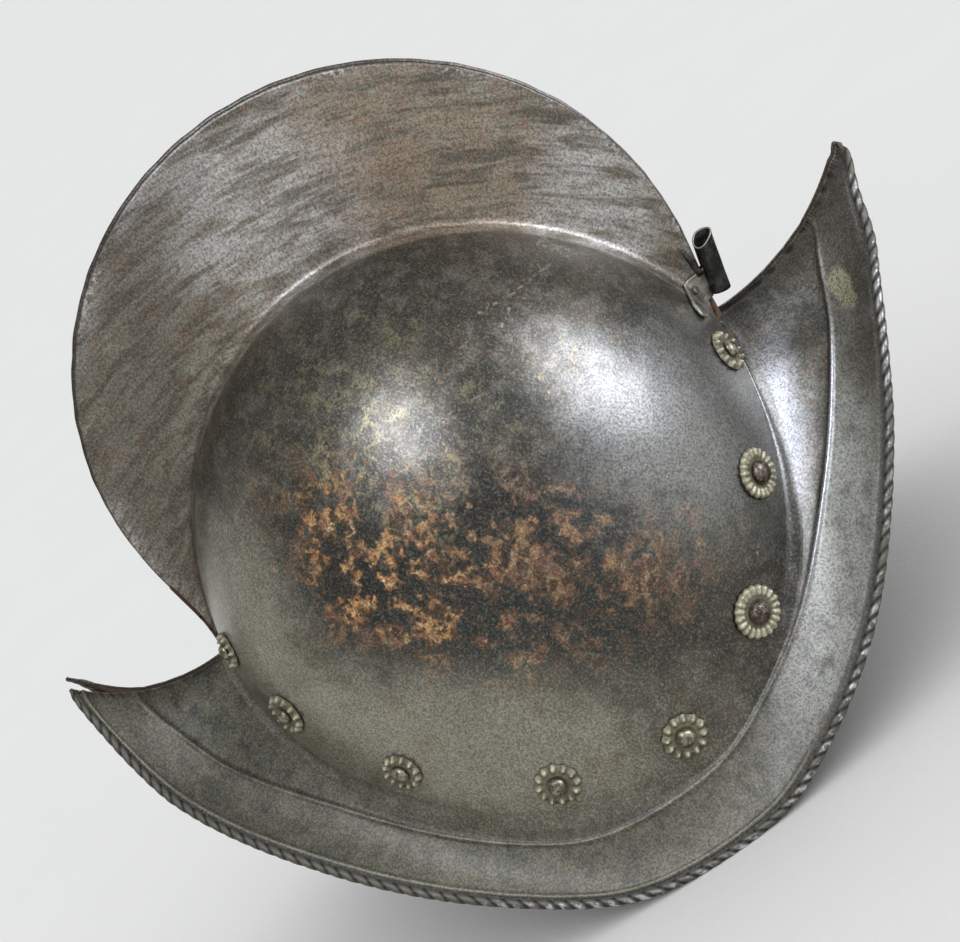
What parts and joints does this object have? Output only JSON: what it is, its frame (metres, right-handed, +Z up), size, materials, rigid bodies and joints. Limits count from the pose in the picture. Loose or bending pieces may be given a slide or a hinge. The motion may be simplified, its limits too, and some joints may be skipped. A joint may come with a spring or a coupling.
{
  "type": "morion helmet",
  "caption": "Comb morion helmet in dark sheet steel: tall hollow comb, crescent brim with roped edge and peaked ends, rosetted rivets round the skull, plume tube at the back.",
  "frame": {"origin": "on the floor under the middle of the helmet, centre of the bounding box seen from above", "axes": "-Y towards the front of the helmet, +X towards the wearer's left, +Z up to the crest"},
  "size_m": [0.2282, 0.3594, 0.3034],
  "materials": {
    "plate_steel": "darkened and tarnished, with rust spots",
    "rosette_brass": "dull, tarnished",
    "rivet_steel": "dark with worn tops",
    "holder_steel": "dark, satin"
  },
  "bodies": {
    "root": {"left_half": "plate_steel", "right_half": "plate_steel", "rosette_left_1": "rosette_brass", "rosette_left_2": "rosette_brass", "rosette_left_3": "rosette_brass", "rosette_left_4": "rosette_brass", "rosette_left_5": "rosette_brass", "rosette_left_6": "rosette_brass", "rosette_left_7": "rosette_brass", "rosette_left_8": "rosette_brass", "rosette_right_1": "rosette_brass", "rosette_right_2": "rosette_brass", "rosette_right_3": "rosette_brass", "rosette_right_4": "rosette_brass", "rosette_right_5": "rosette_brass", "rosette_right_6": "rosette_brass", "rosette_right_7": "rosette_brass", "rosette_right_8": "rosette_brass", "rivet_left_1": "rivet_steel", "rivet_left_2": "rivet_steel", "rivet_left_3": "rivet_steel", "rivet_left_4": "rivet_steel", "rivet_left_5": "rivet_steel", "rivet_left_6": "rivet_steel", "rivet_left_7": "rivet_steel", "rivet_left_8": "rivet_steel", "rivet_right_1": "rivet_steel", "rivet_right_2": "rivet_steel", "rivet_right_3": "rivet_steel", "rivet_right_4": "rivet_steel", "rivet_right_5": "rivet_steel", "rivet_right_6": "rivet_steel", "rivet_right_7": "rivet_steel", "rivet_right_8": "rivet_steel", "plume_holder": "holder_steel", "plume_rivet_1": "rivet_steel", "plume_rivet_2": "rivet_steel"}
  },
  "joints": []
}
